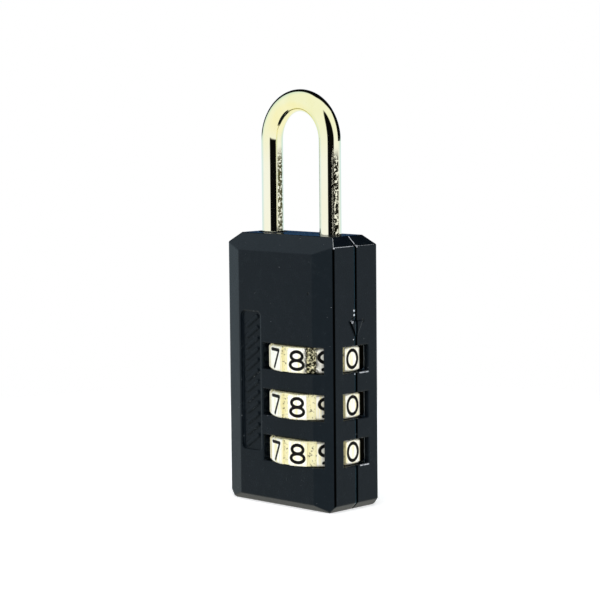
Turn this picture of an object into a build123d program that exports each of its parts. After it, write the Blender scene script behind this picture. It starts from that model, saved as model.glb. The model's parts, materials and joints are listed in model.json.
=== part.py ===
from build123d import *
import math
import os

# Luggage combination padlock: a die-cast case in two shells, three number dials on clutch
# hubs, a spindle that the hubs lock, and a shackle that lifts and swings on its heel leg.
# Millimetres. The origin is the middle of the case's bottom face, +Z up, -Y the front and
# +X the side where the set combination is read. The shackle is modelled raised, unlocked.

os.makedirs("parts", exist_ok=True)

# ---------------------------------------------------------------- driving dimensions
case_width = 20.0
case_depth = 10.6
case_height = 37.2
side_flat_half = 4.3        # half the side face's width, in Y
front_flat_half = 7.0       # half the front face's width, in X
top_half_x = 8.6            # half the flat top, in X
top_half_y = 3.0            # half the flat top, in Y
side_bevel_drop = 1.3
front_bevel_drop = 2.3
bottom_bevel = 1.0
edge_round = 0.22

shackle_radius = 1.5
leg_offset = 5.49           # each leg's distance from the middle of the case
arch_height = 49.9          # height of the arch's centre
lift_travel = 4.0           # how far the shackle drops to close
tip_gap = 0.03              # the toe's gap over the case when the shackle is raised
toe_chamfer = 0.12
heel_chamfer = 0.3

dial_x = 2.85               # the dials' axis
dial_count = 3
top_dial_z = 20.6
dial_pitch = 6.35
dial_height = 3.4
dial_apothem = 6.48
land_count = 10
groove_width = 1.34
groove_floor_radius = 6.05
dial_chamfer = 0.3
dial_bore_radius = 4.0

digit_half_width = 0.98
digit_half_height = 1.19
digit_stroke = 0.46
engraving_depth = 0.14
enamel_sink = 0.02          # the enamel's surface below the land

# ---------------------------------------------------------------- derived dimensions
dial_heights = [top_dial_z - dial_pitch * n for n in range(dial_count)]
land_angle = 360 / land_count
half_land = (dial_apothem * math.tan(math.radians(land_angle / 2))
             - groove_width / 2 / math.cos(math.radians(land_angle / 2)))
land_corner_radius = math.hypot(dial_apothem, half_land)
half_width = case_width / 2
half_depth = case_depth / 2

window_height = 3.6
window_left = -2.5
window_right = 8.5
side_window_width = 4.95
dial_pocket_radius = 6.85

hub_radius = 3.93
hub_height = 6.2
hub_floor = 0.8
hub_cavity_radius = 2.7
tooth_reach = 4.5
tooth_width = 0.9
tooth_height = 1.2
tooth_bottom = -1.6         # below the dial's middle
notch_reach = 4.6
notch_width = 1.0
clutch_bore_radius = 4.65   # lets the teeth drop clear of the dial to set a new number
clutch_bore_depth = 1.7

spindle_radius = 1.0
spindle_hole_radius = 1.08
fin_reach = 2.3
fin_width = 1.1
fin_height = 1.0
fin_slot_reach = 2.5
fin_slot_width = 1.3
spindle_end_rise = 1.6      # the spindle's end above the lowest hub's floor
fin_rise = 2.0              # a fin above its hub's floor when the shackle is raised
neck_radius = 0.6
neck_gap = 0.05             # between the spindle's neck and the guide plate
clip_slot = 0.5
clip_thickness = 0.4

hub_bottoms = [z - hub_height / 2 for z in dial_heights]
hub_top_gap = 0.15
reset_gap = 0.05            # between the bottom hub and the washer under it
reset_pocket_bottom = 2.8
hub_bore_top = hub_bottoms[0] + hub_height + hub_top_gap
reset_washer_top = hub_bottoms[-1] - reset_gap
reset_washer_thickness = 0.3
reset_wire = 0.36
reset_turns = 2

chamber_bottom = 24.8
chamber_half_x = 8.2
chamber_half_y = 3.5
guide_bottom = 33.2
guide_thickness = 1.0
guide_half_x = 8.8
guide_half_y = 4.0
guide_corner = 0.4

carrier_bottom = 31.2
carrier_thickness = 1.2
carrier_half_y = 3.4
carrier_left = -8.0
carrier_right = 7.6
carrier_corner = 0.8
heel_groove_radius = 0.95
heel_groove_play = 0.05
heel_bottom = 30.2
heel_bore_radius = 1.58
toe_bore_radius = 2.0

spring_x = -6.3
spring_pocket_radius = 2.0
spring_pocket_bottom = 23.6
spring_coil_radius = 1.5
spring_wire = 0.42
spring_turns = 5
post_radius = 0.7
post_bottom = 21.9
post_top = 26.2
post_chamfer = 0.2

detent_angle = 162          # where the detent's nose sits in a dial groove
detent_nose_radius = 6.13   # the nose tip's distance from the dials' axis
leaf_x = -4.9
leaf_thickness = 0.22
leaf_height = 2.0
leaf_tail = -4.15           # the leaf's held end, in Y
leaf_tip = 1.15             # how far the free end runs past the nose
nose_foot = 0.95            # half the nose's length where it leaves the leaf
nose_flat = 0.12            # half its flat tip
nose_sink = 0.1             # keeps the nose's outer face off the groove's floor
leaf_pocket_left = -5.7
leaf_pocket_width = 2.8
leaf_pocket_half_y = 3.3
leaf_pocket_height = 2.2
leaf_slot_end = -4.2
leaf_slot_length = 1.0

pin_radius = 0.6
pin_length = 5.6
pin_places = [(-8.1, 4.0), (-8.1, 19.8), (8.3, 3.6), (8.3, 23.7), (0, 35.7)]

window_chamfer = 0.08
seam_width = 0.28
seam_depth = 0.25

arrow_half_width = 1.3
arrow_top = 25.8
arrow_tip = 23.5
arrow_height = 0.2

panel_left = -6.7
panel_right = -2.9
panel_bottom = 7.3
panel_top = 26.6
panel_depth = 0.35
panel_corner = 0.7
rib_count = 12
rib_pitch = 1.5
rib_length = 3.0
rib_width = 0.6
rib_height = 0.2
rib_slant = 35


# ---------------------------------------------------------------- numerals
def ring(centre_y, radius_x, radius_y):
    """An upright oval ring, one stroke wide."""
    with Locations((0, centre_y)):
        Ellipse(radius_x + digit_stroke / 2, radius_y + digit_stroke / 2)
        Ellipse(radius_x - digit_stroke / 2, radius_y - digit_stroke / 2, mode=Mode.SUBTRACT)


def pen(strokes):
    """Gives drawn lines the stroke's width, with round joints and ends."""
    for edge in strokes.edges():
        trace(edge, line_width=digit_stroke)
    with Locations(*strokes.vertices()):
        Circle(digit_stroke / 2)


def numeral(number):
    """Draws one plain numeral, centred on the current sketch's origin."""
    w, h = digit_half_width, digit_half_height
    if number == 0:
        ring(0, w, h)
        return
    if number == 8:
        ring(h / 2, 0.85 * w, h / 2)
        ring(-h / 2, w, h / 2)
        return
    if number in (6, 9):
        turn = 1 if number == 6 else -1
        ring(-0.4 * h * turn, w, 0.6 * h)
        with BuildLine() as strokes:
            ThreePointArc((-w * turn, -0.4 * h * turn), (-0.62 * w * turn, 0.42 * h * turn),
                          (0.45 * w * turn, h * turn))
        pen(strokes)
        return
    with BuildLine() as strokes:
        if number == 1:
            Polyline((-0.5 * w, 0.55 * h), (0.15 * w, h), (0.15 * w, -h))
        if number == 2:
            ThreePointArc((-w, 0.4 * h), (0, h), (w, 0.4 * h))
            Polyline((w, 0.4 * h), (-w, -h), (w, -h))
        if number == 3:
            EllipticalCenterArc((0, h / 2), 0.85 * w, h / 2, start_angle=-90, arc_size=240)
            EllipticalCenterArc((0, -h / 2), w, h / 2, start_angle=-150, arc_size=240)
        if number == 4:
            Polyline((0.45 * w, -h), (0.45 * w, h), (-w, -0.35 * h), (w, -0.35 * h))
        if number == 5:
            Polyline((0.85 * w, h), (-0.72 * w, h), (-0.82 * w, 0.12 * h))
            EllipticalCenterArc((-0.05 * w, -0.32 * h), w, 0.68 * h, start_angle=-150,
                                arc_size=290)
        if number == 7:
            Polyline((-w, h), (w, h), (-0.3 * w, -h))
    pen(strokes)


def land_plane(number, depth):
    """The plane of the land that carries a number, sunk by depth. Its axis is the dial's."""
    angle = math.radians(land_angle * number)
    outward = Vector(math.cos(angle), math.sin(angle), 0)
    return Plane(outward * (dial_apothem - depth), x_dir=(-outward.Y, outward.X, 0), z_dir=outward)


# ---------------------------------------------------------------- case
def side_outline(inset):
    """The case's outline seen from the front, drawn in by inset."""
    side, top = half_width - inset, case_height - inset
    corner = inset * (math.sqrt(2) - 1)
    right = [(side - bottom_bevel + corner, inset), (side, bottom_bevel + corner),
             (side, case_height - side_bevel_drop - corner), (top_half_x - corner, top)]
    return right + [(-x, z) for x, z in reversed(right)]


def is_window_rim(edge):
    """True for an edge where a window opens through the case's outer faces."""
    x, y, z = edge.center()
    slope = (half_depth - side_flat_half) / (half_width - front_flat_half)
    facet = half_depth - slope * (abs(x) - front_flat_half)
    depth_in = min(half_width - abs(x), half_depth - abs(y), facet - abs(y))
    beside = min(abs(z - dial_z) for dial_z in dial_heights)
    return depth_in < edge_round / 2 and beside < window_height / 2 + edge_round / 2


with BuildPart() as case_block:
    with BuildSketch():
        with BuildLine():
            Polyline((half_width, side_flat_half), (front_flat_half, half_depth),
                     (-front_flat_half, half_depth), (-half_width, side_flat_half),
                     (-half_width, -side_flat_half), (-front_flat_half, -half_depth),
                     (front_flat_half, -half_depth), (half_width, -side_flat_half), close=True)
        make_face()
    extrude(amount=case_height)
    with BuildSketch(Plane.XZ):
        with BuildLine():
            Polyline(*side_outline(0), close=True)
        make_face()
    extrude(amount=case_depth, both=True, mode=Mode.INTERSECT)
    with BuildSketch(Plane.YZ):
        with BuildLine():
            Polyline((half_depth, bottom_bevel), (half_depth, case_height - front_bevel_drop),
                     (top_half_y, case_height), (-top_half_y, case_height),
                     (-half_depth, case_height - front_bevel_drop), (-half_depth, bottom_bevel),
                     (-half_depth + bottom_bevel, 0), (half_depth - bottom_bevel, 0), close=True)
        make_face()
    extrude(amount=case_width, both=True, mode=Mode.INTERSECT)
    fillet(case_block.edges(), radius=edge_round)

    # The dials' windows, with broken edges
    for z in dial_heights:
        with Locations(((window_left + window_right) / 2, 0, z)):
            Box(window_right - window_left, 2 * case_depth, window_height, mode=Mode.SUBTRACT)
        with Locations((half_width, 0, z)):
            Box(half_width, side_window_width, window_height, mode=Mode.SUBTRACT)
    chamfer(case_block.edges().filter_by(is_window_rim), length=window_chamfer)

    # The hubs' bore, with the reset spring's pocket at its foot
    with Locations((dial_x, 0, reset_pocket_bottom)):
        Cylinder(dial_bore_radius, hub_bore_top - reset_pocket_bottom,
                 align=(Align.CENTER, Align.CENTER, Align.MIN), mode=Mode.SUBTRACT)
        Cylinder(spindle_hole_radius, chamber_bottom - reset_pocket_bottom,
                 align=(Align.CENTER, Align.CENTER, Align.MIN), mode=Mode.SUBTRACT)
    # A pocket for each dial, and room below for the clutch teeth
    for z in dial_heights:
        with Locations((dial_x, 0, z)):
            Cylinder(dial_pocket_radius, window_height, mode=Mode.SUBTRACT)
        with Locations((dial_x, 0, z - window_height / 2)):
            Cylinder(clutch_bore_radius, clutch_bore_depth,
                     align=(Align.CENTER, Align.CENTER, Align.MAX), mode=Mode.SUBTRACT)
        # The detent leaf's pocket, and the slot that holds its tail
        with Locations((leaf_pocket_left, 0, z)):
            Box(leaf_pocket_width, 2 * leaf_pocket_half_y, leaf_pocket_height,
                align=(Align.MIN, Align.CENTER, Align.CENTER), mode=Mode.SUBTRACT)
        with Locations((leaf_x, leaf_slot_end, z)):
            Box(leaf_thickness, leaf_slot_length, leaf_pocket_height,
                align=(Align.CENTER, Align.MIN, Align.CENTER), mode=Mode.SUBTRACT)
    # The carrier's chamber, the guide plate's groove and the shackle spring's pocket
    with Locations((0, 0, chamber_bottom)):
        Box(2 * chamber_half_x, 2 * chamber_half_y, guide_bottom - chamber_bottom,
            align=(Align.CENTER, Align.CENTER, Align.MIN), mode=Mode.SUBTRACT)
    with Locations((0, 0, guide_bottom)):
        Box(2 * guide_half_x, 2 * guide_half_y, guide_thickness,
            align=(Align.CENTER, Align.CENTER, Align.MIN), mode=Mode.SUBTRACT)
    with Locations((spring_x, 0, spring_pocket_bottom)):
        Cylinder(spring_pocket_radius, chamber_bottom - spring_pocket_bottom,
                 align=(Align.CENTER, Align.CENTER, Align.MIN), mode=Mode.SUBTRACT)
    with Locations((spring_x, 0, post_bottom)):
        Cylinder(post_radius, spring_pocket_bottom - post_bottom,
                 align=(Align.CENTER, Align.CENTER, Align.MIN), mode=Mode.SUBTRACT)
    # The shackle's two bores through the top
    for x, radius in ((leg_offset, heel_bore_radius), (-leg_offset, toe_bore_radius)):
        with Locations((x, 0, case_height)):
            Cylinder(radius, case_height - guide_bottom,
                     align=(Align.CENTER, Align.CENTER, Align.MAX), mode=Mode.SUBTRACT)
    # Blind holes for the dowels that join the shells
    for x, z in pin_places:
        with Locations((x, 0, z)):
            Cylinder(pin_radius, pin_length, rotation=(90, 0, 0), mode=Mode.SUBTRACT)
    # The raised index arrow above the top window on the reading side
    with BuildSketch(Plane.YZ.offset(half_width)):
        with BuildLine():
            Polyline((-arrow_half_width, arrow_top), (arrow_half_width, arrow_top),
                     (0, arrow_tip), close=True)
        make_face()
    extrude(amount=arrow_height)
    # The seam that shows where the shells meet
    with BuildSketch(Plane.XZ):
        Rectangle(2 * case_width, 2 * case_height)
        with BuildLine():
            Polyline(*side_outline(seam_depth), close=True)
        make_face(mode=Mode.SUBTRACT)
    extrude(amount=seam_width / 2, both=True, mode=Mode.SUBTRACT)
    # A sunk grip panel beside the front windows, with slanted ribs
    with BuildSketch(Plane.XZ.offset(half_depth)):
        with Locations(((panel_left + panel_right) / 2, (panel_bottom + panel_top) / 2)):
            RectangleRounded(panel_right - panel_left, panel_top - panel_bottom, panel_corner)
    extrude(amount=-panel_depth, mode=Mode.SUBTRACT)
    with BuildSketch(Plane.XZ.offset(half_depth - panel_depth)):
        with Locations(((panel_left + panel_right) / 2, (panel_bottom + panel_top) / 2)):
            with GridLocations(0, rib_pitch, 1, rib_count):
                SlotOverall(rib_length, rib_width, rotation=rib_slant)
    extrude(amount=rib_height)

with BuildPart() as front_case:
    add(case_block.part)
    split(bisect_by=Plane.XZ, keep=Keep.TOP)
front_case.part.label = "front_case"
export_step(front_case.part, "parts/front_case.step")

with BuildPart() as back_case:
    add(case_block.part)
    split(bisect_by=Plane.XZ, keep=Keep.BOTTOM)
back_case.part.label = "back_case"
export_step(back_case.part, "parts/back_case.step")

with BuildPart() as case_pins:
    for x, z in pin_places:
        with Locations((x, 0, z)):
            Cylinder(pin_radius, pin_length, rotation=(90, 0, 0))
case_pins.part.label = "case_pins"
export_step(case_pins.part, "parts/case_pins.step")

with BuildPart() as guide_plate:
    with BuildSketch(Plane.XY.offset(guide_bottom)):
        RectangleRounded(2 * guide_half_x, 2 * guide_half_y, guide_corner)
        with Locations((leg_offset, 0)):
            Circle(heel_bore_radius, mode=Mode.SUBTRACT)
        with Locations((-leg_offset, 0)):
            Circle(toe_bore_radius, mode=Mode.SUBTRACT)
    extrude(amount=guide_thickness)
guide_plate.part.label = "guide_plate"
export_step(guide_plate.part, "parts/guide_plate.step")

# ---------------------------------------------------------------- shackle
with BuildPart() as shackle:
    with BuildLine():
        Line((leg_offset, 0, heel_bottom), (leg_offset, 0, arch_height))
        ThreePointArc((leg_offset, 0, arch_height), (0, 0, arch_height + leg_offset),
                      (-leg_offset, 0, arch_height))
        Line((-leg_offset, 0, arch_height), (-leg_offset, 0, case_height + tip_gap))
    with BuildSketch(Plane.XY.offset(heel_bottom)):
        with Locations((leg_offset, 0)):
            Circle(shackle_radius)
    sweep()
    ends = shackle.faces().filter_by(Axis.Z).sort_by(Axis.Z)
    chamfer(ends[0].edges(), length=heel_chamfer)
    chamfer(shackle.faces().filter_by(Axis.Z).sort_by(Axis.Z)[-1].edges(), length=toe_chamfer)
    groove_height = carrier_thickness + 2 * heel_groove_play
    with Locations((leg_offset, 0, carrier_bottom + carrier_thickness / 2)):
        Cylinder(2 * shackle_radius, groove_height, mode=Mode.SUBTRACT)
        Cylinder(heel_groove_radius, groove_height)
shackle.part.label = "shackle"
export_step(shackle.part, "parts/shackle.step")

# ---------------------------------------------------------------- carrier and spindle
with BuildPart() as carrier_plate:
    with BuildSketch(Plane.XY.offset(carrier_bottom)):
        with Locations(((carrier_left + carrier_right) / 2, 0)):
            RectangleRounded(carrier_right - carrier_left, 2 * carrier_half_y, carrier_corner)
        with Locations((dial_x, 0)):
            Circle(neck_radius, mode=Mode.SUBTRACT)
        fork_radius = heel_groove_radius + heel_groove_play
        with Locations((leg_offset, 0)):
            Circle(fork_radius, mode=Mode.SUBTRACT)
            Rectangle(half_width, 2 * fork_radius, align=(Align.MIN, Align.CENTER),
                      mode=Mode.SUBTRACT)
    extrude(amount=carrier_thickness)
carrier_plate.part.label = "carrier_plate"
export_step(carrier_plate.part, "parts/carrier_plate.step")

with BuildPart() as spindle:
    spindle_bottom = hub_bottoms[-1] + hub_floor + spindle_end_rise
    with Locations((dial_x, 0, spindle_bottom)):
        Cylinder(spindle_radius, carrier_bottom - spindle_bottom,
                 align=(Align.CENTER, Align.CENTER, Align.MIN))
    with Locations((dial_x, 0, carrier_bottom)):
        Cylinder(neck_radius, guide_bottom - neck_gap - carrier_bottom,
                 align=(Align.CENTER, Align.CENTER, Align.MIN))
    for bottom in hub_bottoms:
        with Locations((dial_x, 0, bottom + hub_floor + fin_rise)):
            Box(fin_reach, fin_width, fin_height, align=(Align.MIN, Align.CENTER, Align.MIN))
spindle.part.label = "spindle"
export_step(spindle.part, "parts/spindle.step")

with BuildPart() as spindle_clip:
    with BuildSketch(Plane.XY.offset(carrier_bottom + carrier_thickness)):
        with Locations((dial_x, 0)):
            Circle(spindle_radius)
            Circle(neck_radius, mode=Mode.SUBTRACT)
            Rectangle(2 * spindle_radius, clip_slot, align=(Align.MAX, Align.CENTER),
                      mode=Mode.SUBTRACT)
    extrude(amount=clip_thickness)
spindle_clip.part.label = "spindle_clip"
export_step(spindle_clip.part, "parts/spindle_clip.step")

with BuildPart() as spring_post:
    with Locations((spring_x, 0, post_bottom)):
        Cylinder(post_radius, post_top - post_bottom,
                 align=(Align.CENTER, Align.CENTER, Align.MIN))
    chamfer(spring_post.faces().sort_by(Axis.Z)[-1].edges(), length=post_chamfer)
spring_post.part.label = "spring_post"
export_step(spring_post.part, "parts/spring_post.step")

# ---------------------------------------------------------------- springs
with BuildPart() as shackle_spring:
    coil_height = carrier_bottom - spring_pocket_bottom - spring_wire
    with BuildLine(Plane((spring_x, 0, spring_pocket_bottom + spring_wire / 2))):
        coil = Helix(coil_height / spring_turns, coil_height, spring_coil_radius)
    with BuildSketch(Plane(coil @ 0, z_dir=coil % 0)):
        Circle(spring_wire / 2)
    sweep(is_frenet=True)
shackle_spring.part.label = "shackle_spring"
export_step(shackle_spring.part, "parts/shackle_spring.step")

with BuildPart() as reset_washer:
    with BuildSketch(Plane.XY.offset(reset_washer_top - reset_washer_thickness)):
        with Locations((dial_x, 0)):
            Circle(hub_radius)
            Circle(hub_cavity_radius, mode=Mode.SUBTRACT)
    extrude(amount=reset_washer_thickness)
reset_washer.part.label = "reset_washer"
export_step(reset_washer.part, "parts/reset_washer.step")

with BuildPart() as reset_spring:
    coil_height = (reset_washer_top - reset_washer_thickness
                   - reset_pocket_bottom - reset_wire)
    with BuildLine(Plane((dial_x, 0, reset_pocket_bottom + reset_wire / 2))):
        coil = Helix(coil_height / reset_turns, coil_height, (hub_radius + hub_cavity_radius) / 2)
    with BuildSketch(Plane(coil @ 0, z_dir=coil % 0)):
        Circle(reset_wire / 2)
    sweep(is_frenet=True)
reset_spring.part.label = "reset_spring"
export_step(reset_spring.part, "parts/reset_spring.step")

for index, z in enumerate(dial_heights, start=1):
    with BuildPart() as detent_spring:
        angle = math.radians(detent_angle)
        nose_x = (dial_x + detent_nose_radius * math.cos(angle) - leaf_thickness / 2
                  - nose_sink)
        nose_y = detent_nose_radius * math.sin(angle)
        with BuildSketch(Plane.XY.offset(z - leaf_height / 2)):
            with BuildLine():
                Polyline((leaf_x, leaf_tail), (leaf_x, nose_y - nose_foot),
                         (nose_x, nose_y - nose_flat), (nose_x, nose_y + nose_flat),
                         (leaf_x, nose_y + nose_foot), (leaf_x, nose_y + leaf_tip))
            trace(line_width=leaf_thickness)
        extrude(amount=leaf_height)
    name = f"detent_spring_{index}"
    detent_spring.part.label = name
    export_step(detent_spring.part, f"parts/{name}.step")

# ---------------------------------------------------------------- dials and hubs
with BuildPart() as dial_blank:
    with BuildSketch(Plane.XY.offset(-dial_height / 2)):
        RegularPolygon(dial_apothem, land_count, major_radius=False, rotation=land_angle / 2)
        with PolarLocations(groove_floor_radius, land_count, start_angle=land_angle / 2):
            Rectangle(dial_apothem, groove_width, align=(Align.MIN, Align.CENTER),
                      mode=Mode.SUBTRACT)
        Circle(dial_bore_radius, mode=Mode.SUBTRACT)
        with PolarLocations(0, land_count, start_angle=land_angle / 2):
            Rectangle(notch_reach, notch_width, align=(Align.MIN, Align.CENTER), mode=Mode.SUBTRACT)
    extrude(amount=dial_height)
    with BuildSketch(Plane.XZ):
        with BuildLine():
            Polyline((0, -dial_height / 2), (land_corner_radius - dial_chamfer, -dial_height / 2),
                     (land_corner_radius, -dial_height / 2 + dial_chamfer),
                     (land_corner_radius, dial_height / 2 - dial_chamfer),
                     (land_corner_radius - dial_chamfer, dial_height / 2), (0, dial_height / 2),
                     close=True)
        make_face()
    revolve(axis=Axis.Z, mode=Mode.INTERSECT)
    for number in range(land_count):
        with BuildSketch(land_plane(number, 0)):
            numeral(number)
        extrude(amount=-engraving_depth, mode=Mode.SUBTRACT)

with BuildPart() as enamel_blank:
    for number in range(land_count):
        with BuildSketch(land_plane(number, engraving_depth)):
            numeral(number)
        extrude(amount=engraving_depth - enamel_sink)

with BuildPart() as hub_blank:
    with Locations((0, 0, -hub_height / 2)):
        Cylinder(hub_radius, hub_height, align=(Align.CENTER, Align.CENTER, Align.MIN))
    with BuildSketch(Plane.XY.offset(tooth_bottom)):
        with PolarLocations(0, land_count, start_angle=land_angle / 2):
            Rectangle(tooth_reach, tooth_width, align=(Align.MIN, Align.CENTER))
    extrude(amount=tooth_height)
    with Locations((0, 0, -hub_height / 2 + hub_floor)):
        Cylinder(hub_cavity_radius, hub_height - hub_floor,
                 align=(Align.CENTER, Align.CENTER, Align.MIN), mode=Mode.SUBTRACT)
    with Locations((0, 0, -hub_height / 2)):
        Cylinder(spindle_hole_radius, hub_floor,
                 align=(Align.CENTER, Align.CENTER, Align.MIN), mode=Mode.SUBTRACT)
        Box(fin_slot_reach, fin_slot_width, hub_floor,
            align=(Align.MIN, Align.CENTER, Align.MIN), mode=Mode.SUBTRACT)

for index, z in enumerate(dial_heights, start=1):
    for kind, blank in (("dial_{}", dial_blank), ("dial_{}_digits", enamel_blank),
                        ("hub_{}", hub_blank)):
        with BuildPart() as piece:
            with Locations((dial_x, 0, z)):
                add(blank.part)
        name = kind.format(index)
        piece.part.label = name
        export_step(piece.part, f"parts/{name}.step")
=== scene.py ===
"""Looks for the luggage combination padlock: materials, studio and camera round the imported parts."""
import json
import math

import bmesh
import bpy
from mathutils import Matrix, Vector


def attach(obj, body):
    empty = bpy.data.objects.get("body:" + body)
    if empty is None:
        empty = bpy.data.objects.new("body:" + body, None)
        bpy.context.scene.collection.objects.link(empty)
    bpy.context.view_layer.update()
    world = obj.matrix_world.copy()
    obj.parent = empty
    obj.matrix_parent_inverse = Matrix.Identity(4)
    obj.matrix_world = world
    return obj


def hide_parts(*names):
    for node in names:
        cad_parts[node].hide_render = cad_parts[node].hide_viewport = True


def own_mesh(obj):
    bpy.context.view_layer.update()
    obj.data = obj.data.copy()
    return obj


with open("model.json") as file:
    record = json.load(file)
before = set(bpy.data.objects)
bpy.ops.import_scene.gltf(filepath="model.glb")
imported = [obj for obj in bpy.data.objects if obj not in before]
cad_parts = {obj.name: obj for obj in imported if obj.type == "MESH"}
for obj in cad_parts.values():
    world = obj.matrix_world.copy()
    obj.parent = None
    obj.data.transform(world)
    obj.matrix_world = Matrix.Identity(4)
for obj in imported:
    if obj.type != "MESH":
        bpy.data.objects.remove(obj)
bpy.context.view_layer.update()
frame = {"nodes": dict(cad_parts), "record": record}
nodes = frame["nodes"]

MM = 0.001

# ------------------------------------------------------------------ camera
# Compass places round the lock are in degrees: 0 is its front, 90 its reading side.
CAMERA_AZIMUTH = 44.17
CAMERA_ELEVATION = 5.53
CAMERA_ROLL = -0.55
CAMERA_DISTANCE = 294.5 * MM
FOCAL_LENGTH = 128.4
SENSOR_WIDTH = 36
SHIFT_X = -0.0033
SHIFT_Y = -0.0183
CLIP_START = 0.01
CLIP_END = 10
AIM_HEIGHT = 29.5 * MM


def direction(azimuth, elevation):
    """The unit vector towards a compass place round the lock."""
    a, e = math.radians(azimuth), math.radians(elevation)
    return Vector((math.sin(a) * math.cos(e), -math.cos(a) * math.cos(e), math.sin(e)))


def make_camera():
    data = bpy.data.cameras.new("camera")
    data.lens = FOCAL_LENGTH
    data.sensor_width = SENSOR_WIDTH
    data.shift_x = SHIFT_X
    data.shift_y = SHIFT_Y
    data.clip_start = CLIP_START
    data.clip_end = CLIP_END
    camera = bpy.data.objects.new("camera", data)
    bpy.context.scene.collection.objects.link(camera)
    back = direction(CAMERA_AZIMUTH, CAMERA_ELEVATION)
    place = Matrix.Translation(Vector((0, 0, AIM_HEIGHT)) + back * CAMERA_DISTANCE)
    turn = (-back).to_track_quat("-Z", "Y").to_matrix().to_4x4()
    roll = Matrix.Rotation(math.radians(CAMERA_ROLL), 4, "Z")
    camera.matrix_world = place @ turn @ roll
    bpy.context.scene.camera = camera


# ------------------------------------------------------------------ shader building blocks
BEVEL_SAMPLES = 6


class Tree:
    """A node tree that is written as nested calls. Inputs may be values or sockets."""

    def __init__(self, tree):
        self.tree = tree

    def add(self, kind, inputs=None, output=0, **settings):
        node = self.tree.nodes.new(kind)
        for name, value in settings.items():
            setattr(node, name, value)
        for key, value in (inputs or {}).items():
            if isinstance(value, bpy.types.NodeSocket):
                self.tree.links.new(value, node.inputs[key])
            else:
                node.inputs[key].default_value = value
        return node.outputs[output] if node.outputs else node

    def math(self, operation, a, b=0.0, clamp=False):
        return self.add("ShaderNodeMath", {0: a, 1: b}, operation=operation, use_clamp=clamp)

    def vector(self, operation, a, b=(0, 0, 0)):
        """A vector operation that gives a vector."""
        return self.add("ShaderNodeVectorMath", {0: a, 1: b}, "Vector", operation=operation)

    def measure(self, operation, a, b=(0, 0, 0)):
        """A vector operation that gives a number."""
        return self.add("ShaderNodeVectorMath", {0: a, 1: b}, "Value", operation=operation)

    def part(self, vector, letter):
        """The X, Y or Z of a vector."""
        return self.add("ShaderNodeSeparateXYZ", {0: vector}, letter)

    def place(self, stretch=(1, 1, 1)):
        """The point on the object in millimetres, stretched for grain that runs one way."""
        point = self.add("ShaderNodeTexCoord", output="Object")
        return self.vector("MULTIPLY", point, tuple(s / MM for s in stretch))

    def noise(self, point, scale, detail=3.0, roughness=0.55):
        return self.add("ShaderNodeTexNoise", {"Vector": point, "Scale": scale,
                                               "Detail": detail, "Roughness": roughness})

    def ramp(self, value, low, high):
        """0 below low and 1 above high."""
        return self.add("ShaderNodeMapRange", {0: value, 1: low, 2: high},
                        interpolation_type="SMOOTHSTEP")

    def fall(self, value, low, high):
        """1 below low and 0 above high."""
        return self.math("SUBTRACT", 1.0, self.ramp(value, low, high))

    def blots(self, point, scale, detail, roughness, low, high):
        """Noise cut into blots: 0 where it is below low and 1 where it is above high."""
        return self.ramp(self.noise(point, scale, detail, roughness), low, high)

    def span(self, value, low, high):
        """Maps 0 to 1 onto low to high."""
        return self.add("ShaderNodeMapRange", {0: value, 3: low, 4: high})

    def mix(self, amount, a, b):
        """From colour a to colour b."""
        return self.add("ShaderNodeMix", {0: amount, 6: a, 7: b}, 2, data_type="RGBA")

    def bump(self, height, depth, normal=None):
        """A bump whose height of 1 stands depth millimetres proud."""
        inputs = {"Height": height, "Distance": depth * MM, "Strength": 1.0}
        if normal is not None:
            inputs["Normal"] = normal
        return self.add("ShaderNodeBump", inputs)

    def rounded(self, radius):
        """The normal as if edges were rounded by a radius in millimetres."""
        return self.add("ShaderNodeBevel", {"Radius": radius * MM}, samples=BEVEL_SAMPLES)

    def edges(self, radius, slight, full):
        """1 where rounding by a radius in millimetres would turn the surface by much."""
        normal = self.add("ShaderNodeNewGeometry", output="Normal")
        turn = self.measure("DOT_PRODUCT", self.rounded(radius), normal)
        return self.ramp(self.math("SUBTRACT", 1.0, turn), slight, full)

    def near(self, point, places):
        """1 close to any of the places, each a point and a reach in millimetres."""
        total = 0.0
        for place, reach in places:
            away = self.measure("DISTANCE", point, place)
            total = self.math("MAXIMUM", self.fall(away, 0.5 * reach, reach), total)
        return total

    def along(self, point, lines):
        """1 close to any of the lines, each two ends and a reach in millimetres."""
        total = 0.0
        for start, end, reach in lines:
            run = Vector(end) - Vector(start)
            offset = self.vector("SUBTRACT", point, start)
            share = self.measure("DOT_PRODUCT", offset, run / run.length_squared)
            share = self.math("ADD", share, 0.0, clamp=True)
            foot = self.add("ShaderNodeVectorMath", {0: run, 3: share}, operation="SCALE")
            away = self.measure("DISTANCE", offset, foot)
            total = self.math("MAXIMUM", self.fall(away, 0.5 * reach, reach), total)
        return total


def new_material(name):
    material = bpy.data.materials.new(name)
    material.use_nodes = True
    shader = material.node_tree.nodes["Principled BSDF"]
    return material, Tree(material.node_tree), shader


def connect(tree, shader, **sockets):
    """Links or sets the main shader's inputs; underscores stand for spaces."""
    for name, value in sockets.items():
        target = shader.inputs[name.replace("_", " ")]
        if isinstance(value, bpy.types.NodeSocket):
            tree.tree.links.new(value, target)
        else:
            target.default_value = value


def grey(value):
    return (value, value, value, 1.0)


# ------------------------------------------------------------------ the case's paint
PAINT_DARK = (0.0022, 0.0040, 0.0062, 1)
PAINT_LIGHT = (0.0038, 0.0058, 0.0086, 1)
PAINT_SMUDGE = (0.0080, 0.0110, 0.0140, 1)
PAINT_PIT = (0.0010, 0.0010, 0.0015, 1)
PAINT_GLOSS = 0.16
PAINT_GLOSS_TINT = (0.64, 0.82, 0.93, 1)
# bare zinc of chips and dust, also used for the lines of painted highlight
ZINC_AND_GLINT = (0.78, 0.80, 0.84, 1)
# painted shade: the black of the lines of shade and dark reflection on the case
EDGE_SHADE_BLACK = grey(0.0008)
SMUDGE_STRENGTH = 0.4
DUST_STRENGTH = 0.4
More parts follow.
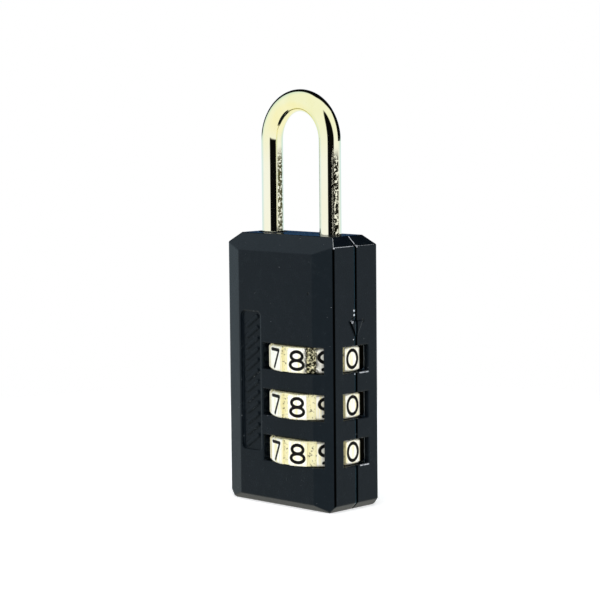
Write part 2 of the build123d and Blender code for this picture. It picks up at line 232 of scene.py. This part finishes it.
# Radii that edges are rounded by, in millimetres
WORN_ROUNDING = 0.16
BURNISHED_ROUNDING = 0.32
SKIN_ROUNDING = 0.30
# Depths of the paint's relief in millimetres
PEEL_DEPTH = 0.004
WAVE_DEPTH = 0.02
CHIP_DEPTH = 0.015
PIT_DEPTHS = 8.0            # how many times deeper than a chip a pit is

# Where the paint is rubbed through, and along the lines also a painted highlight of the edges: two ends
# and a reach, or a point and a reach, in millimetres
RUBBED_AND_GLINT_LINES = (
    ((8.75, -3.05, 37.05), (9.95, -4.2, 35.95), 0.05),      # the corner by the heel leg
    ((10.0, -4.1, 35.9), (10.0, -0.4, 35.9), 0.055),        # the reading side's top edge
    ((10.0, 0.5, 35.9), (10.0, 3.7, 35.9), 0.03),
    ((8.7, 0.16, 37.1), (9.95, 0.16, 35.95), 0.06),         # the seam's lip
    ((9.98, 0.8, 18.72), (9.98, 2.4, 18.72), 0.14),         # the sills of two windows
    ((9.98, 0.8, 6.02), (9.98, 2.4, 6.02), 0.13),
)
RUBBED_SPOTS = (
    ((10.0, 0.35, 35.85), 0.20), ((10.0, -4.15, 35.8), 0.18),       # the ends of those lines
    ((10.0, -0.28, 27.2), 0.22), ((10.0, -0.25, 26.6), 0.22),       # above the arrow
    ((10.2, -0.85, 25.75), 0.30), ((10.0, -0.45, 23.3), 0.10),      # on the arrow and below it
    ((10.0, -0.2, 18.6), 0.15),
)
# Painted shade, as black lines with no shine: the dark reflection on the edge beside the seam, the
# shade in the seam, and the shade on the arrow's left stroke
SHADED_EDGE_LINES = (
    ((10.0, -4.2, 0.9), (10.0, -4.2, 35.85), 0.25),
    ((10.0, 0.0, 0.9), (10.0, 0.0, 35.8), 0.38),
    ((10.2, -1.25, 25.7), (10.2, -0.1, 23.6), 0.24),
)
PITS = (((6.26, -5.3, 29.61), 0.24), ((10.0, 1.47, 25.7), 0.3), ((10.0, -0.6, 26.3), 0.22))


def case_paint():
    """Satin blue-black paint on die-cast zinc, with bright chips along the sharpest edges, bright lines
    of painted highlight along some edges, and black lines of painted shade.
    """
    material, t, shader = new_material("case_paint")
    point = t.place()
    smudge = t.blots(point, 0.9, 4.0, 0.65, 0.50, 0.72)
    pits = t.near(point, PITS)
    base = t.mix(t.noise(point, 0.35, 2.0), PAINT_DARK, PAINT_LIGHT)
    base = t.mix(t.math("MULTIPLY", smudge, SMUDGE_STRENGTH), base, PAINT_SMUDGE)
    base = t.mix(pits, base, PAINT_PIT)

    sharp = t.edges(WORN_ROUNDING, 0.004, 0.09)
    speckle = t.blots(point, 3.1, 5.0, 0.7, 0.58, 0.66)
    patches = t.blots(point, 0.55, 2.0, 0.55, 0.52, 0.66)
    scattered = t.math("MULTIPLY", sharp, t.math("MULTIPLY", speckle, patches))
    broken = t.blots(point, 4.0, 4.0, 0.6, 0.36, 0.50)
    # rubbed wear, and along the listed lines also a painted highlight in bright zinc
    rubbed_and_glint = t.math("MAXIMUM", t.near(point, RUBBED_SPOTS), t.along(point, RUBBED_AND_GLINT_LINES))
    chips_and_glints = t.math("MAXIMUM", scattered, t.math("MULTIPLY", rubbed_and_glint, broken))
    dust = t.math("MULTIPLY", t.blots(point, 4.2, 2.0, 0.5, 0.775, 0.80), DUST_STRENGTH)
    bare_and_glint = t.math("MAXIMUM", chips_and_glints, dust, clamp=True)
    # painted shade: black lines without shine along the edge beside the seam, in the seam and on the
    # arrow's left stroke
    edge_shade = t.math("MULTIPLY", t.along(point, SHADED_EDGE_LINES), t.math("SUBTRACT", 1.0, bare_and_glint))
    colour = t.mix(edge_shade, t.mix(bare_and_glint, base, ZINC_AND_GLINT), EDGE_SHADE_BLACK)

    burnished = t.edges(BURNISHED_ROUNDING, 0.002, 0.012)
    rough = t.span(t.noise(point, 1.3, 3.0), 0.17, 0.27)
    rough = t.math("ADD", rough, t.math("MULTIPLY", smudge, 0.06))
    rough = t.math("SUBTRACT", rough, t.math("MULTIPLY", burnished, 0.16))
    skin = t.bump(t.noise(point, 5.5, 2.0, 0.5), PEEL_DEPTH, t.rounded(SKIN_ROUNDING))
    skin = t.bump(t.noise(point, 0.45, 1.0), WAVE_DEPTH, skin)
    hollows = t.math("ADD", bare_and_glint, t.math("MULTIPLY", pits, PIT_DEPTHS))
    connect(t, shader, Base_Color=colour, Roughness=rough, Normal=t.bump(hollows, -CHIP_DEPTH, skin),
            Metallic=t.math("MAXIMUM", chips_and_glints, edge_shade))
    connect(t, shader, Specular_IOR_Level=PAINT_GLOSS, Specular_Tint=PAINT_GLOSS_TINT)
    return material


# ------------------------------------------------------------------ the shackle's plating
LEG_DARK = (0.95, 0.90, 0.66, 1)
LEG_LIGHT = (0.98, 0.96, 0.82, 1)
CROWN_DARK = (0.93, 0.89, 0.48, 1)
CROWN_LIGHT = (0.97, 0.95, 0.68, 1)
FRECKLE = (0.50, 0.42, 0.20, 1)
FRECKLE_STRENGTH = 0.45
# Heights in millimetres where the legs give way to the crown, and where the pitted bands of painted
# dark reflection end
CROWN_HEIGHTS = (46.0, 54.0)
BAND_END_HEIGHTS = (46.8, 49.3)
SCRATCH_DEPTH = 0.03
BAND_FADE = 0.03         # how softly the pitted, darkened arc ends, as a share of a radius
DRAWN_DEPTH = 0.0015
LEG_OFFSET = 5.49           # millimetres from the lock's middle to the axis of either leg
# The arc of each leg that the case's mouth has scratched, whose pits are also painted dark as a
# reflection: a leg's side, the arc's compass place, the cosine of half its width, and its colour
PITTED_REFLECTION_BANDS = ((1, 74, 0.945, (0.008, 0.007, 0.003, 1)), (-1, 91, 0.95, (0.110, 0.105, 0.035, 1)))


def plated_brass():
    """Bright pale brass plating on the shackle, pitted down one side of each leg, with a painted dark
    reflection in the pits.
    """
    material, t, shader = new_material("shackle_brass")
    point = t.place()
    height, across = t.part(point, "Z"), t.part(point, "X")
    cloud = t.noise(t.place((1, 1, 0.3)), 0.5, 3.0)
    legs = t.mix(cloud, LEG_DARK, LEG_LIGHT)
    crown = t.mix(cloud, CROWN_DARK, CROWN_LIGHT)
    base = t.mix(t.ramp(height, *CROWN_HEIGHTS), legs, crown)
    freckles = t.blots(point, 2.6, 5.0, 0.72, 0.64, 0.72)
    base = t.mix(t.math("MULTIPLY", freckles, FRECKLE_STRENGTH), base, FRECKLE)

    low = t.fall(height, *BAND_END_HEIGHTS)
    pits = t.blots(point, 2.5, 3.0, 0.65, 0.46, 0.49)
    pitting = 0.0
    for side, compass, narrow, colour in PITTED_REFLECTION_BANDS:
        offset = t.vector("SUBTRACT", point, (side * LEG_OFFSET, 0, 0))
        outward = t.vector("NORMALIZE", t.vector("MULTIPLY", offset, (1, 1, 0)))
        towards = t.measure("DOT_PRODUCT", outward, direction(compass, 0))
        leg = t.math("GREATER_THAN", t.math("MULTIPLY", across, side), 0.0)
        arc = t.ramp(towards, narrow - BAND_FADE, narrow + BAND_FADE)
        band = t.math("MULTIPLY", t.math("MULTIPLY", arc, leg), low)
        band = t.math("MULTIPLY", band, pits)
        # painted dark reflection over the pits of the lower legs
        base = t.mix(band, base, colour)
        pitting = t.math("MAXIMUM", pitting, band)

    drawn = t.noise(t.place((6, 6, 0.35)), 1.0, 3.0)
    rough = t.math("ADD", t.span(drawn, 0.02, 0.05), t.math("MULTIPLY", pitting, 0.35))
    normal = t.bump(pitting, -SCRATCH_DEPTH, t.bump(drawn, DRAWN_DEPTH))
    connect(t, shader, Base_Color=base, Roughness=rough, Normal=normal, Metallic=1.0)
    return material


# ------------------------------------------------------------------ the dials
LAND_COLOUR = (1.0, 0.98, 0.88, 1)
STREAK_COLOUR = (0.92, 0.84, 0.50, 1)
# painted shade: the darker, yellower colour of the grooves
GROOVE_SHADE_YELLOW = (0.90, 0.84, 0.48, 1)
# painted shade: the black of shaded grooves
GROOVE_SHADE_BLACK = (0.020, 0.017, 0.010, 1)
STAIN_COLOUR = (0.24, 0.19, 0.08, 1)
GROOVE_STRENGTH = 0.8
STAIN_STRENGTH = 0.4
DIAL_SHINE = 0.28           # how metallic a clean dial is
DIAL_ROUNDING = 0.05        # millimetres
TURNED_DEPTH = 0.003
DIAL_AXIS = (2.85, 0.0, 0.0)
GROOVE_RADII = (6.25, 6.47)     # inside a groove, and on a land
# Painted shade: grooves painted black on the reading side, and one painted with black specks
BLACKENED_GROOVES = [((9.0, 2.5, low), (9.0, 2.5, low + 7), 1.5) for low in (4.4, 10.8, 17.2)]
SPECKLED_GROOVE = [((6.5, -5.0, 18.4), (6.5, -5.0, 22.8), 1.35)]


def dial_brass():
    """Pale satin brass with fine turned lines and yellow streaks; the grooves are painted darker and
    yellower, black in places and speckled black, as shade.
    """
    material, t, shader = new_material("dial_brass")
    point = t.place()
    streak = t.blots(t.place((2.2, 2.2, 0.16)), 1.0, 4.0, 0.6, 0.46, 0.66)
    plan = t.vector("MULTIPLY", t.vector("SUBTRACT", point, DIAL_AXIS), (1, 1, 0))
    deep = t.fall(t.measure("LENGTH", plan), *GROOVE_RADII)
    base = t.mix(streak, LAND_COLOUR, STREAK_COLOUR)
    # painted shade: grooves darker and yellower than the lands
    base = t.mix(t.math("MULTIPLY", deep, GROOVE_STRENGTH), base, GROOVE_SHADE_YELLOW)
    # painted shade: black specks in all grooves, black along some grooves, and speckled black in one
    specks = t.blots(point, 2.8, 5.0, 0.7, 0.56, 0.62)
    speckled_shade = t.blots(point, 3.0, 5.0, 0.75, 0.45, 0.49)
    speckled_shade = t.math("MULTIPLY", t.along(point, SPECKLED_GROOVE), speckled_shade)
    solid_shade = t.math("MAXIMUM", t.along(point, BLACKENED_GROOVES), speckled_shade)
    shade_mask = t.math("MAXIMUM", solid_shade, t.math("MULTIPLY", deep, specks))
    base = t.mix(shade_mask, base, GROOVE_SHADE_BLACK)
    stain = t.blots(point, 2.4, 5.0, 0.7, 0.64, 0.72)
    base = t.mix(t.math("MULTIPLY", stain, STAIN_STRENGTH), base, STAIN_COLOUR)

    turned = t.noise(t.place((0.3, 0.3, 9.0)), 1.0, 2.0)
    rough = t.math("ADD", t.span(turned, 0.26, 0.38), t.math("MULTIPLY", shade_mask, 0.3))
    normal = t.bump(turned, TURNED_DEPTH, t.rounded(DIAL_ROUNDING))
    connect(t, shader, Base_Color=base, Roughness=rough, Normal=normal,
            Metallic=t.math("MAXIMUM", shade_mask, DIAL_SHINE))
    return material


ENAMEL_DARK = (0.002, 0.002, 0.002, 1)
ENAMEL_LIGHT = (0.008, 0.007, 0.006, 1)
ENAMEL_GLOSS = 0.08
ENAMEL_DEPTH = 0.006


def enamel():
    """Black enamel laid into the numerals, slightly uneven."""
    material, t, shader = new_material("digit_enamel")
    point = t.place()
    base = t.mix(t.noise(point, 3.0, 3.0), ENAMEL_DARK, ENAMEL_LIGHT)
    rough = t.span(t.noise(point, 6.0, 2.0), 0.35, 0.55)
    connect(t, shader, Base_Color=base, Roughness=rough, Specular_IOR_Level=ENAMEL_GLOSS,
            Normal=t.bump(t.noise(point, 8.0, 2.0), ENAMEL_DEPTH))
    return material


# ------------------------------------------------------------------ working metals
METAL_ROUNDING = 0.05       # millimetres
GRAIN_ROUGHNESS = 0.07      # how far the grain and the cloud move the roughness
CLOUD_ROUGHNESS = 0.04


def metal(name, low, high, rough, grain, stretch=(1, 1, 1)):
    """A plain working metal: a cloudy colour, uneven roughness and a grain so many millimetres deep."""
    material, t, shader = new_material(name)
    cloud = t.noise(t.place(), 0.8, 3.0)
    brushed = t.noise(t.place(stretch), 3.0, 3.0)
    normal = t.bump(brushed, grain, t.rounded(METAL_ROUNDING))
    roughness = t.math("ADD", t.span(brushed, rough - GRAIN_ROUGHNESS, rough + GRAIN_ROUGHNESS),
                       t.span(cloud, -CLOUD_ROUGHNESS, CLOUD_ROUGHNESS))
    connect(t, shader, Base_Color=t.mix(cloud, low, high), Metallic=1.0, Normal=normal,
            Roughness=roughness)
    return material


MATERIALS = {
    "case_paint": case_paint(),
    "shackle_brass": plated_brass(),
    "dial_brass": dial_brass(),
    "digit_enamel": enamel(),
    "hub_metal": metal("hub_metal", grey(0.42), grey(0.60), 0.38, 0.006),
    "steel": metal("steel", (0.50, 0.53, 0.58, 1), (0.66, 0.68, 0.70, 1), 0.26, 0.002, (8, 0.5, 0.5)),
    "spring_steel": metal("spring_steel", grey(0.30), grey(0.45), 0.24, 0.002, (0.5, 0.5, 8)),
}


def dress_cad_nodes():
    """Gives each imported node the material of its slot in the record."""
    for subpart in frame["record"]["subparts"]:
        node = nodes[subpart["node"]]
        node.data.materials.clear()
        node.data.materials.append(MATERIALS[subpart["material_slot"]])


# ------------------------------------------------------------------ the lift spring
# Its axis, ends, coil and wire in millimetres, as in the CAD.
SPRING_X = -6.3
SPRING_BOTTOM = 23.6
SPRING_TOP = 31.2
COIL_RADIUS = 1.5
SPRING_WIRE = 0.42
SPRING_TURNS = 5
STEPS_PER_TURN = 32
WIRE_SIDES = 12


def make_lift_spring():
    """A coil that stands in for the rigid one."""
    foot = Vector((SPRING_X, 0, SPRING_BOTTOM + SPRING_WIRE / 2))
    height = SPRING_TOP - SPRING_BOTTOM - SPRING_WIRE
    steps = SPRING_TURNS * STEPS_PER_TURN
    coil = bmesh.new()
    rings = []
    for step in range(steps + 1):
        angle = math.tau * step / STEPS_PER_TURN
        outward = Vector((math.cos(angle), math.sin(angle), 0))
        centre = foot + outward * COIL_RADIUS + Vector((0, 0, height * step / steps))
        ring = []
        for side in range(WIRE_SIDES):
            turn = math.tau * side / WIRE_SIDES
            offset = outward * math.cos(turn) + Vector((0, 0, math.sin(turn)))
            ring.append(coil.verts.new((centre + offset * SPRING_WIRE / 2) * MM))
        rings.append(ring)
    for lower, upper in zip(rings, rings[1:]):
        for side in range(WIRE_SIDES):
            after = (side + 1) % WIRE_SIDES
            coil.faces.new((lower[side], upper[side], upper[after], lower[after])).smooth = True
    coil.faces.new(rings[0])
    coil.faces.new(rings[-1])
    bmesh.ops.recalc_face_normals(coil, faces=coil.faces)
    mesh = bpy.data.meshes.new("lift_coil")
    coil.to_mesh(mesh)
    coil.free()
    spring = bpy.data.objects.new("lift_coil", mesh)
    mesh.materials.append(MATERIALS["spring_steel"])
    bpy.context.scene.collection.objects.link(spring)
    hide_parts("shackle_spring")
    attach(spring, "case")
    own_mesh(spring)


# ------------------------------------------------------------------ floor
FLOOR_RADIUS = 120          # millimetres
FLOOR_SEGMENTS = 96
FLOOR_FADE = (70.0, 118.0)
FLOOR_GLOW = 0.5
PAPER_DARK = grey(0.90)
PAPER_LIGHT = grey(0.93)


def floor_paint():
    """Plain white paper that fades out at the rim of the floor."""
    material, t, shader = new_material("floor")
    point = t.place()
    base = t.mix(t.noise(point, 0.08, 2.0), PAPER_DARK, PAPER_LIGHT)
    fade = t.fall(t.measure("LENGTH", point), *FLOOR_FADE)
    connect(t, shader, Base_Color=base, Roughness=0.9, Specular_IOR_Level=0.1, Alpha=fade)
    connect(t, shader, Emission_Color=grey(1.0), Emission_Strength=FLOOR_GLOW)
    return material


def make_floor():
    """A disc that the metal doesn't reflect: the tent's ground has no rim to show in it."""
    mesh = bpy.data.meshes.new("floor")
    disc = bmesh.new()
    bmesh.ops.create_circle(disc, cap_ends=True, segments=FLOOR_SEGMENTS, radius=FLOOR_RADIUS * MM)
    disc.to_mesh(mesh)
    disc.free()
    floor = bpy.data.objects.new("floor", mesh)
    floor.visible_glossy = False
    mesh.materials.append(floor_paint())
    bpy.context.scene.collection.objects.link(floor)


# ------------------------------------------------------------------ studio
TENT_FRONT = (0.95, 0.98, 1.0, 1)
TENT_BACK = (0.68, 0.86, 0.96, 1)
TENT_GROUND = (0.98, 0.97, 0.88, 1)
TENT_DARK = grey(0.003)
TENT_BLUE = (0.05, 0.14, 0.30, 1)
BACK_BEGINS = (0.1, 0.7)        # the cosine of the turn from straight behind
GROUND_BEGINS = (0.05, -0.55)   # the height of the ray
# The dark openings that the metal reflects: a turn from the camera, half the width, the bottom and
# the top, in degrees, and a colour
OPENINGS = (
    (9, 34, -6.5, 57, TENT_DARK),
    (163, 66, 0, 76, TENT_DARK),
    (180, 20, 0, 9, TENT_BLUE),
)
OPENING_SOFTNESS = 3.0          # degrees
# Soft lamps: a name, a turn from the camera and an elevation in degrees, a distance and a side in
# metres, and watts
LAMPS = (("tent_top", -60, 62, 0.6, 0.6, 0.5), ("tent_front", 14, 18, 0.6, 0.5, 2.2))


def opening(t, ray, centre, half_width, bottom, top):
    """1 in an opening of the tent: round-topped, half_width degrees either side of centre."""
    degree = 180 / math.pi
    facing = t.measure("DOT_PRODUCT", ray, direction(centre, 0))
    across = t.measure("DOT_PRODUCT", ray, direction(centre + 90, 0))
    around = t.math("MULTIPLY", t.math("ARCTAN2", across, facing), degree / half_width)
    elevation = t.math("MULTIPLY", t.math("ARCSINE", t.part(ray, "Z")), degree)
    outline = t.add("ShaderNodeCombineXYZ", {0: around, 1: t.math("DIVIDE", elevation, top)})
    edge = OPENING_SOFTNESS / half_width
    within = t.fall(t.measure("LENGTH", outline), 1 - edge, 1 + edge)
    sill = t.ramp(elevation, bottom - OPENING_SOFTNESS / 2, bottom + OPENING_SOFTNESS / 2)
    return t.math("MULTIPLY", within, sill)


def make_world():
    """A white tent with dark openings, as the lock's metal reflects; its backdrop is plain white."""
    world = bpy.data.worlds.new("studio")
    world.use_nodes = True
    t = Tree(world.node_tree)
    world.node_tree.nodes.clear()
    ray = t.add("ShaderNodeTexCoord", output="Generated")
    behind = t.measure("DOT_PRODUCT", ray, direction(CAMERA_AZIMUTH + 180, 0))
    tent = t.mix(t.ramp(behind, *BACK_BEGINS), TENT_FRONT, TENT_BACK)
    tent = t.mix(t.ramp(t.part(ray, "Z"), *GROUND_BEGINS), tent, TENT_GROUND)
    for turn, half_width, bottom, top, colour in OPENINGS:
        tent = t.mix(opening(t, ray, CAMERA_AZIMUTH + turn, half_width, bottom, top), tent, colour)
    tent = t.add("ShaderNodeBackground", {0: tent, 1: 1.0})
    backdrop = t.add("ShaderNodeBackground", {0: grey(1.0), 1: 1.0})
    seen = t.add("ShaderNodeLightPath", output="Is Camera Ray")
    both = t.add("ShaderNodeMixShader", {0: seen, 1: tent, 2: backdrop})
    t.add("ShaderNodeOutputWorld", {0: both})
    bpy.context.scene.world = world


def add_lamp(name, turn, elevation, distance, size, power):
    """A soft square lamp aimed at the lock's middle, which gives no highlight of its own."""
    data = bpy.data.lights.new(name, "AREA")
    data.size = size
    data.energy = power
    lamp = bpy.data.objects.new(name, data)
    bpy.context.scene.collection.objects.link(lamp)
    towards = direction(CAMERA_AZIMUTH + turn, elevation)
    lamp.location = Vector((0, 0, AIM_HEIGHT)) + towards * distance
    lamp.visible_glossy = False
    lamp.rotation_mode = "QUATERNION"
    lamp.rotation_quaternion = (-towards).to_track_quat("-Z", "Y")


dress_cad_nodes()
make_lift_spring()
make_camera()
make_floor()
make_world()
for lamp_settings in LAMPS:
    add_lamp(*lamp_settings)
bpy.context.scene.view_settings.view_transform = "Standard"
